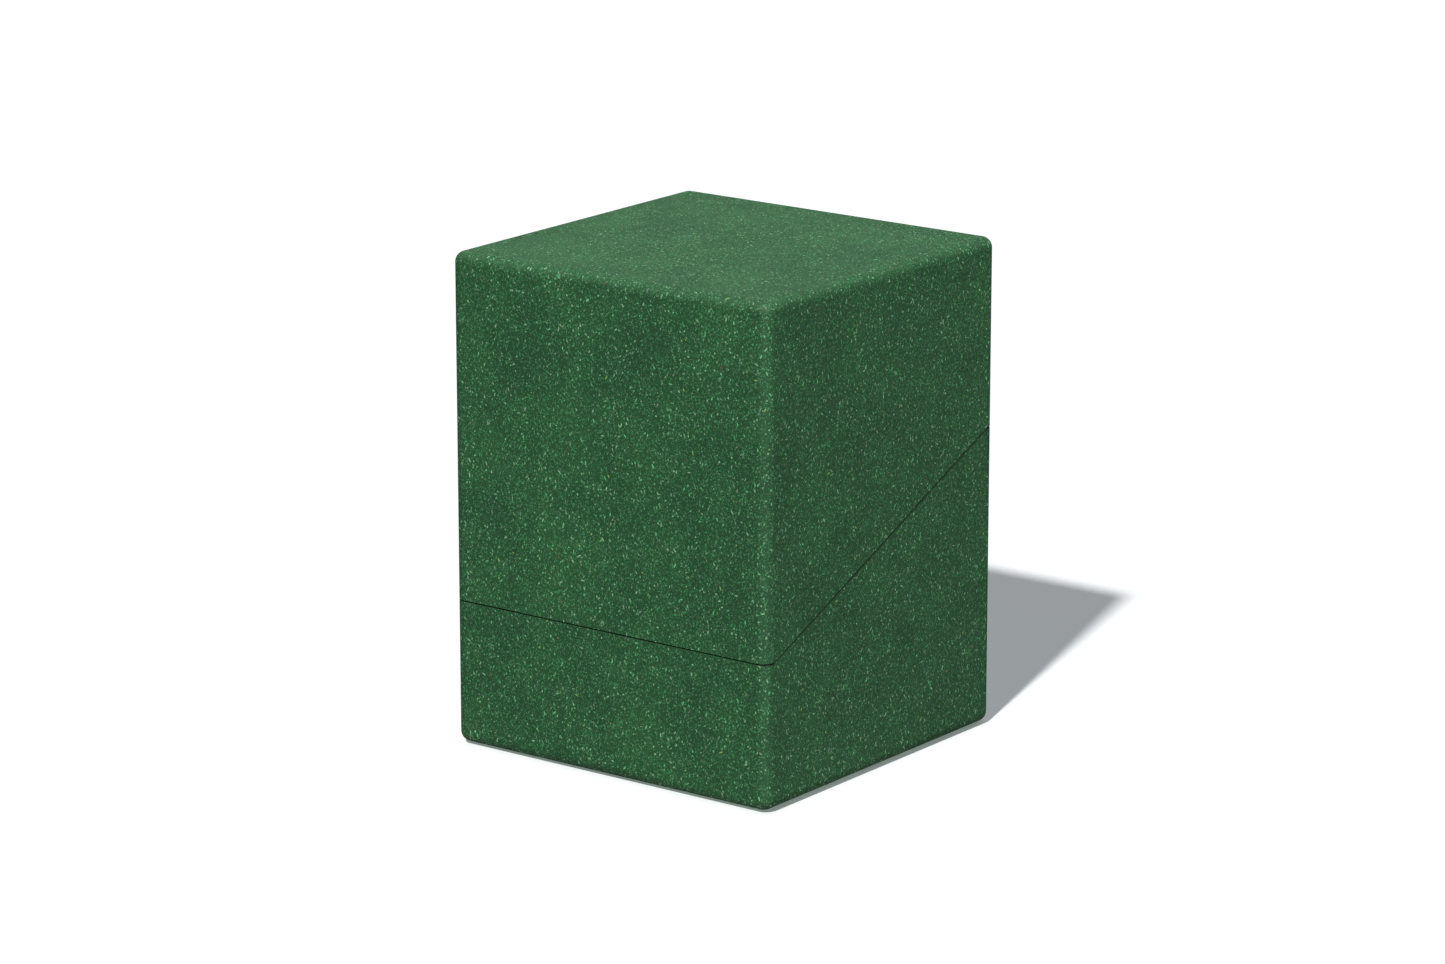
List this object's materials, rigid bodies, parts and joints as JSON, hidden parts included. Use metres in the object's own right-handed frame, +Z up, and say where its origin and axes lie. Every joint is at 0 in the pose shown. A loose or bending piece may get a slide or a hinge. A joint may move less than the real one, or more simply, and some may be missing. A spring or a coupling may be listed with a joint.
{
  "type": "card deck box",
  "caption": "Rigid rounded box for one deck of sleeved playing cards, with a lift-off cover that meets the base on a slanted seam and slides over an inner tray.",
  "frame": {"origin": "centre of the underside, on the surface that the box stands on", "axes": "+Z up, along which the cover lifts; -Y towards the front, where the seam is low; +X to the right, seen from the front"},
  "size_m": [0.0778, 0.0768, 0.1015],
  "materials": {
    "base_bioplastic": "dark green plant-fibre bioplastic, fine matte moulded texture, speckled with pale and brown fibre",
    "tray_bioplastic": "dark green plant-fibre bioplastic, smooth satin moulded surface, speckled with pale and brown fibre",
    "cover_bioplastic": "dark green plant-fibre bioplastic, fine matte moulded texture, speckled with pale and brown fibre"
  },
  "bodies": {
    "base": {"base_shell": "base_bioplastic", "inner_tray": "tray_bioplastic"},
    "cover": {"cover_shell": "cover_bioplastic"}
  },
  "joints": [
    {"name": "cover_lift", "type": "slide", "parent": "base", "child": "cover", "axis": [0, 0, 1], "range_m": [0, 0.075]}
  ]
}
